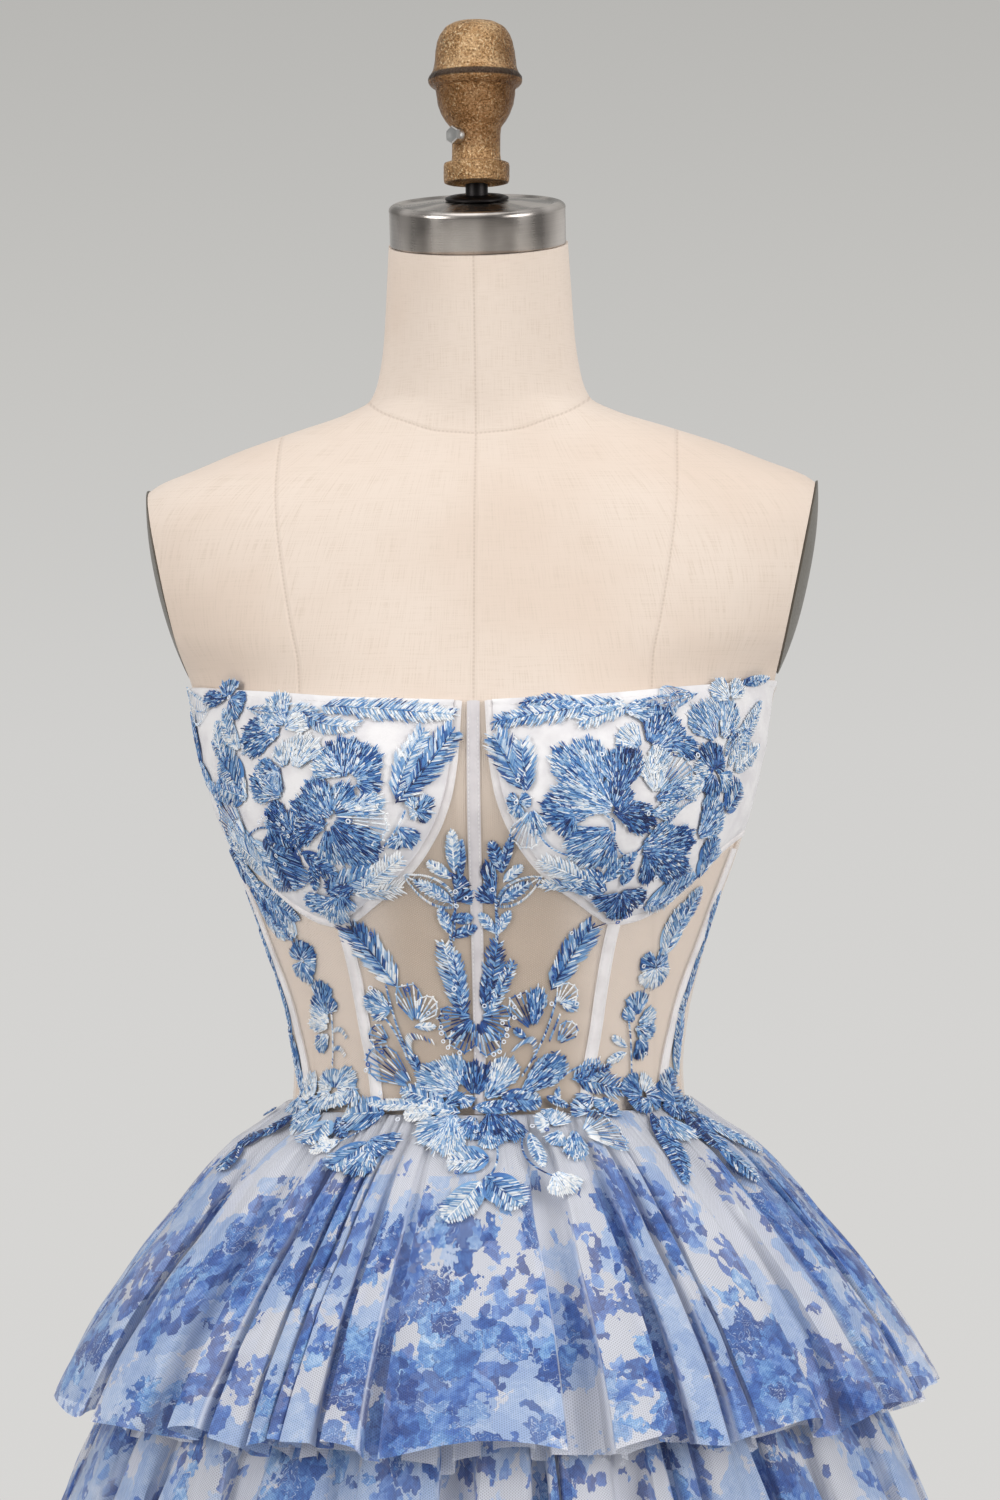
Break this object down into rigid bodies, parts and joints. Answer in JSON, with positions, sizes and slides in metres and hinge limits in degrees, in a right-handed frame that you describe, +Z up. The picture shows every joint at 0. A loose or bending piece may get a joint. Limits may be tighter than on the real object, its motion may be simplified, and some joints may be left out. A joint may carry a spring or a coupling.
{
  "type": "homecoming dress on a limbless dress form with a stand",
  "caption": "Strapless boned homecoming dress with an appliqued bodice and a gathered, tiered tulle skirt, worn by a limbless dress form on a round-based stand.",
  "frame": {"origin": "middle of the round base, on the floor", "axes": "+Z up along the form; the dress faces -Y; +X is on the right of a viewer in front of it"},
  "size_m": [0.5941, 0.5588, 1.664],
  "materials": {
    "form_cloth": "tightly stretched cream linen, fine plain weave, stitched seams",
    "armhole_plate": "dark grey-green satin paint",
    "steel": "brushed round the axis",
    "black_metal": "black, satin",
    "brass": "cast, dull gold, darker in the grooves",
    "nude_net": "fine sheer nude net, close fitting",
    "white_cup": "padded white cup under fine net",
    "white_channel": "white boning tape, stitched along both edges",
    "zip_tape": "closed concealed zip on pale tape",
    "zip_metal": "bright die-cast slider and pull",
    "skirt_lining": "plain pale underskirt",
    "printed_tulle": "crisp sheer tulle, white to lavender, with a blue watercolour flower print",
    "blue_embroidery": "satin-stitched leaves and flowers in blues and white, with small ring sequins"
  },
  "bodies": {
    "root": {"armhole_plate_left": "armhole_plate", "armhole_plate_right": "armhole_plate", "bone_back_left": "white_channel", "bone_back_right": "white_channel", "bone_centre": "white_channel", "bone_princess_left": "white_channel", "bone_princess_right": "white_channel", "bone_side_left": "white_channel", "bone_side_right": "white_channel", "cap_washer": "black_metal", "centre_back_left": "nude_net", "centre_back_right": "nude_net", "cup_flower_left": "blue_embroidery", "cup_flower_right": "blue_embroidery", "cup_foot_leaves_left": "blue_embroidery", "cup_foot_leaves_right": "blue_embroidery", "cup_leaf_left": "blue_embroidery", "cup_leaf_right": "blue_embroidery", "cup_left": "white_cup", "cup_right": "white_cup", "cup_side_flower_left": "blue_embroidery", "cup_side_flower_right": "blue_embroidery", "cup_spray_left": "blue_embroidery", "cup_spray_right": "blue_embroidery", "finial": "brass", "finial_rod": "black_metal", "form_torso": "form_cloth", "front_butterfly": "blue_embroidery", "front_frond_left": "blue_embroidery", "front_frond_right": "blue_embroidery", "front_panel_left": "nude_net", "front_panel_right": "nude_net", "neck_cap": "steel", "pole_collar": "steel", "set_screw": "steel", "side_back_left": "nude_net", "side_back_right": "nude_net", "side_front_left": "nude_net", "side_front_right": "nude_net", "side_panel_left": "nude_net", "side_panel_right": "nude_net", "side_sprig_left": "blue_embroidery", "side_sprig_right": "blue_embroidery", "stand_base": "black_metal", "stand_pole": "steel", "tier_1": "printed_tulle", "tier_2": "printed_tulle", "tier_3": "printed_tulle", "underskirt": "skirt_lining", "waist_drop": "blue_embroidery", "waist_flower": "blue_embroidery", "waist_leaves_left": "blue_embroidery", "waist_leaves_right": "blue_embroidery", "waist_spray_left": "blue_embroidery", "waist_spray_right": "blue_embroidery", "wire_channel_left": "white_channel", "wire_channel_right": "white_channel", "zip_slider": "zip_metal", "zip_tape": "zip_tape"},
    "pull": {"zip_pull": "zip_metal"}
  },
  "joints": [
    {"name": "zip_pull_swing", "type": "hinge", "parent": "root", "child": "pull", "pos_m": [0, 0.11134, 1.23612], "axis": [1, 0, 0], "range_deg": [0, 150]}
  ]
}
